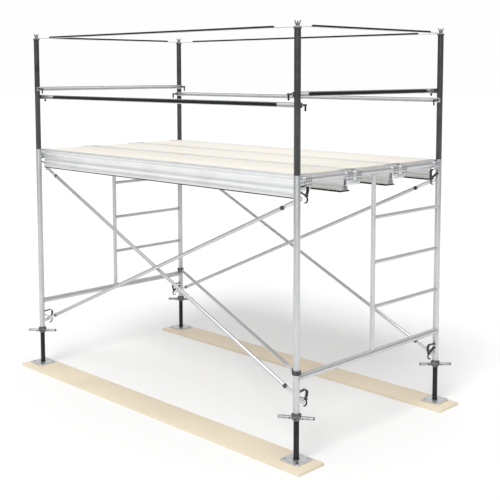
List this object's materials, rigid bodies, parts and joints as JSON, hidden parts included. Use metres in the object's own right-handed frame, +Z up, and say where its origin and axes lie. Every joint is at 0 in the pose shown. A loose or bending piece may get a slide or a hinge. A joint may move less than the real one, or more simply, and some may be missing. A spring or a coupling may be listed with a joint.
{
  "type": "frame scaffold",
  "caption": "Walk-in frame scaffold bay on screw jacks and sole boards, with ladder-type end frames, cross braces, hook-on planks and a double guard rail.",
  "frame": {"origin": "floor level under the sole boards, at the middle of the four legs", "axes": "+X along the bay from the left end frame to the right one, +Y across the end frames from the open walk-in side to the ladder side, +Z up"},
  "size_m": [3.11, 1.753, 2.7542],
  "materials": {
    "timber": "planed softwood",
    "plywood": "sealed plywood",
    "galvanised": "hot-dip galvanised",
    "galvanised_light": "bright zinc",
    "aluminium_extrusion": "mill finish extrusion",
    "cast_aluminium": "cast, dimpled",
    "charcoal_paint": "satin charcoal",
    "black_steel": "oiled black",
    "dark_casting": "black casting",
    "cast_nut": "grey casting",
    "rail_strip": "galvanised strip with a black rib"
  },
  "bodies": {
    "base": {"sole_board_front": "timber", "sole_board_back": "timber", "base_plates": "galvanised_light", "jack_screws": "black_steel"},
    "tower": {"frame_legs_right": "galvanised", "frame_legs_left": "galvanised", "frame_transoms": "galvanised", "frame_ledgers": "galvanised", "frame_inner_posts": "galvanised", "frame_rungs": "galvanised", "brace_studs": "galvanised", "lock_brackets": "dark_casting", "cross_brace_front_falling": "galvanised", "cross_brace_front_rising": "galvanised", "cross_brace_back_falling": "galvanised", "cross_brace_back_rising": "galvanised", "cross_brace_lugs": "galvanised_light", "cross_brace_sleeves": "dark_casting", "plan_brace": "galvanised", "plan_brace_clamps": "dark_casting", "deck_panel_front": "plywood", "deck_panel_middle": "plywood", "deck_panel_back": "plywood", "deck_side_rails": "aluminium_extrusion", "deck_headers": "aluminium_extrusion", "deck_crossbars": "aluminium_extrusion", "deck_hooks": "cast_aluminium", "guard_posts": "charcoal_paint", "guard_post_caps": "charcoal_paint", "rail_pins": "galvanised", "long_mid_rails": "rail_strip", "side_mid_rails": "rail_strip", "long_top_rails": "rail_strip", "side_top_rails": "rail_strip"},
    "wind_locks_right": {"wind_locks_right": "galvanised_light"},
    "wind_locks_left": {"wind_locks_left": "galvanised_light"},
    "jack_nut_front_right": {"jack_nut_front_right": "cast_nut"},
    "wing_nut_front_right": {"wing_nut_front_right": "cast_nut"},
    "brace_lock_front_right_low": {"brace_lock_front_right_low": "dark_casting"},
    "brace_lock_front_right_high": {"brace_lock_front_right_high": "dark_casting"},
    "rail_toggle_front_right_long": {"rail_toggle_front_right_long": "black_steel"},
    "rail_toggle_front_right_side": {"rail_toggle_front_right_side": "black_steel"},
    "jack_nut_front_left": {"jack_nut_front_left": "cast_nut"},
    "wing_nut_front_left": {"wing_nut_front_left": "cast_nut"},
    "brace_lock_front_left_low": {"brace_lock_front_left_low": "dark_casting"},
    "brace_lock_front_left_high": {"brace_lock_front_left_high": "dark_casting"},
    "rail_toggle_front_left_long": {"rail_toggle_front_left_long": "black_steel"},
    "rail_toggle_front_left_side": {"rail_toggle_front_left_side": "black_steel"},
    "jack_nut_back_right": {"jack_nut_back_right": "cast_nut"},
    "wing_nut_back_right": {"wing_nut_back_right": "cast_nut"},
    "brace_lock_back_right_low": {"brace_lock_back_right_low": "dark_casting"},
    "brace_lock_back_right_high": {"brace_lock_back_right_high": "dark_casting"},
    "rail_toggle_back_right_long": {"rail_toggle_back_right_long": "black_steel"},
    "rail_toggle_back_right_side": {"rail_toggle_back_right_side": "black_steel"},
    "jack_nut_back_left": {"jack_nut_back_left": "cast_nut"},
    "wing_nut_back_left": {"wing_nut_back_left": "cast_nut"},
    "brace_lock_back_left_low": {"brace_lock_back_left_low": "dark_casting"},
    "brace_lock_back_left_high": {"brace_lock_back_left_high": "dark_casting"},
    "rail_toggle_back_left_long": {"rail_toggle_back_left_long": "black_steel"},
    "rail_toggle_back_left_side": {"rail_toggle_back_left_side": "black_steel"}
  },
  "joints": [
    {"name": "levelling", "type": "slide", "parent": "base", "child": "tower", "axis": [0, 0, 1], "range_m": [-0.2, 0.2]},
    {"name": "nut_turn_front_right", "type": "hinge", "parent": "tower", "child": "jack_nut_front_right", "pos_m": [1.43, -0.762, 0.3], "axis": [0, 0, 1], "range_deg": [-9000, 9000]},
    {"name": "wing_turn_front_right", "type": "hinge", "parent": "tower", "child": "wing_nut_front_right", "pos_m": [1.43, -0.762, 2.735], "axis": [0, 0, 1], "continuous": true},
    {"name": "latch_swing_front_right_low", "type": "hinge", "parent": "tower", "child": "brace_lock_front_right_low", "pos_m": [1.43, -0.676, 0.396], "axis": [1, 0, 0], "range_deg": [0, 100]},
    {"name": "latch_swing_front_right_high", "type": "hinge", "parent": "tower", "child": "brace_lock_front_right_high", "pos_m": [1.43, -0.676, 1.683], "axis": [1, 0, 0], "range_deg": [0, 100]},
    {"name": "toggle_swing_front_right_long", "type": "hinge", "parent": "tower", "child": "rail_toggle_front_right_long", "pos_m": [1.43, -0.689, 2.242], "axis": [1, 0, 0], "range_deg": [0, 90]},
    {"name": "toggle_swing_front_right_side", "type": "hinge", "parent": "tower", "child": "rail_toggle_front_right_side", "pos_m": [1.357, -0.762, 2.308], "axis": [0, 1, 0], "range_deg": [0, 90]},
    {"name": "nut_turn_front_left", "type": "hinge", "parent": "tower", "child": "jack_nut_front_left", "pos_m": [-1.43, -0.762, 0.3], "axis": [0, 0, 1], "range_deg": [-9000, 9000]},
    {"name": "wing_turn_front_left", "type": "hinge", "parent": "tower", "child": "wing_nut_front_left", "pos_m": [-1.43, -0.762, 2.735], "axis": [0, 0, 1], "continuous": true},
    {"name": "latch_swing_front_left_low", "type": "hinge", "parent": "tower", "child": "brace_lock_front_left_low", "pos_m": [-1.43, -0.676, 0.396], "axis": [1, 0, 0], "range_deg": [0, 100]},
    {"name": "latch_swing_front_left_high", "type": "hinge", "parent": "tower", "child": "brace_lock_front_left_high", "pos_m": [-1.43, -0.676, 1.683], "axis": [1, 0, 0], "range_deg": [0, 100]},
    {"name": "toggle_swing_front_left_long", "type": "hinge", "parent": "tower", "child": "rail_toggle_front_left_long", "pos_m": [-1.43, -0.689, 2.242], "axis": [1, 0, 0], "range_deg": [0, 90]},
    {"name": "toggle_swing_front_left_side", "type": "hinge", "parent": "tower", "child": "rail_toggle_front_left_side", "pos_m": [-1.357, -0.762, 2.308], "axis": [0, -1, 0], "range_deg": [0, 90]},
    {"name": "nut_turn_back_right", "type": "hinge", "parent": "tower", "child": "jack_nut_back_right", "pos_m": [1.43, 0.762, 0.3], "axis": [0, 0, 1], "range_deg": [-9000, 9000]},
    {"name": "wing_turn_back_right", "type": "hinge", "parent": "tower", "child": "wing_nut_back_right", "pos_m": [1.43, 0.762, 2.735], "axis": [0, 0, 1], "continuous": true},
    {"name": "latch_swing_back_right_low", "type": "hinge", "parent": "tower", "child": "brace_lock_back_right_low", "pos_m": [1.43, 0.676, 0.396], "axis": [-1, 0, 0], "range_deg": [0, 100]},
    {"name": "latch_swing_back_right_high", "type": "hinge", "parent": "tower", "child": "brace_lock_back_right_high", "pos_m": [1.43, 0.676, 1.683], "axis": [-1, 0, 0], "range_deg": [0, 100]},
    {"name": "toggle_swing_back_right_long", "type": "hinge", "parent": "tower", "child": "rail_toggle_back_right_long", "pos_m": [1.43, 0.689, 2.242], "axis": [-1, 0, 0], "range_deg": [0, 90]},
    {"name": "toggle_swing_back_right_side", "type": "hinge", "parent": "tower", "child": "rail_toggle_back_right_side", "pos_m": [1.357, 0.762, 2.308], "axis": [0, 1, 0], "range_deg": [0, 90]},
    {"name": "nut_turn_back_left", "type": "hinge", "parent": "tower", "child": "jack_nut_back_left", "pos_m": [-1.43, 0.762, 0.3], "axis": [0, 0, 1], "range_deg": [-9000, 9000]},
    {"name": "wing_turn_back_left", "type": "hinge", "parent": "tower", "child": "wing_nut_back_left", "pos_m": [-1.43, 0.762, 2.735], "axis": [0, 0, 1], "continuous": true},
    {"name": "latch_swing_back_left_low", "type": "hinge", "parent": "tower", "child": "brace_lock_back_left_low", "pos_m": [-1.43, 0.676, 0.396], "axis": [-1, 0, 0], "range_deg": [0, 100]},
    {"name": "latch_swing_back_left_high", "type": "hinge", "parent": "tower", "child": "brace_lock_back_left_high", "pos_m": [-1.43, 0.676, 1.683], "axis": [-1, 0, 0], "range_deg": [0, 100]},
    {"name": "toggle_swing_back_left_long", "type": "hinge", "parent": "tower", "child": "rail_toggle_back_left_long", "pos_m": [-1.43, 0.689, 2.242], "axis": [-1, 0, 0], "range_deg": [0, 90]},
    {"name": "toggle_swing_back_left_side", "type": "hinge", "parent": "tower", "child": "rail_toggle_back_left_side", "pos_m": [-1.357, 0.762, 2.308], "axis": [0, -1, 0], "range_deg": [0, 90]},
    {"name": "wind_lock_slide_right", "type": "slide", "parent": "tower", "child": "wind_locks_right", "axis": [1, 0, 0], "range_m": [0, 0.06]},
    {"name": "wind_lock_slide_left", "type": "slide", "parent": "tower", "child": "wind_locks_left", "axis": [-1, 0, 0], "range_m": [0, 0.06]}
  ],
  "couplings": [
    {"joint": "nut_turn_front_right", "follows": "levelling", "rad_per_m": 785.4},
    {"joint": "nut_turn_front_left", "follows": "levelling", "rad_per_m": 785.4},
    {"joint": "nut_turn_back_right", "follows": "levelling", "rad_per_m": 785.4},
    {"joint": "nut_turn_back_left", "follows": "levelling", "rad_per_m": 785.4}
  ]
}
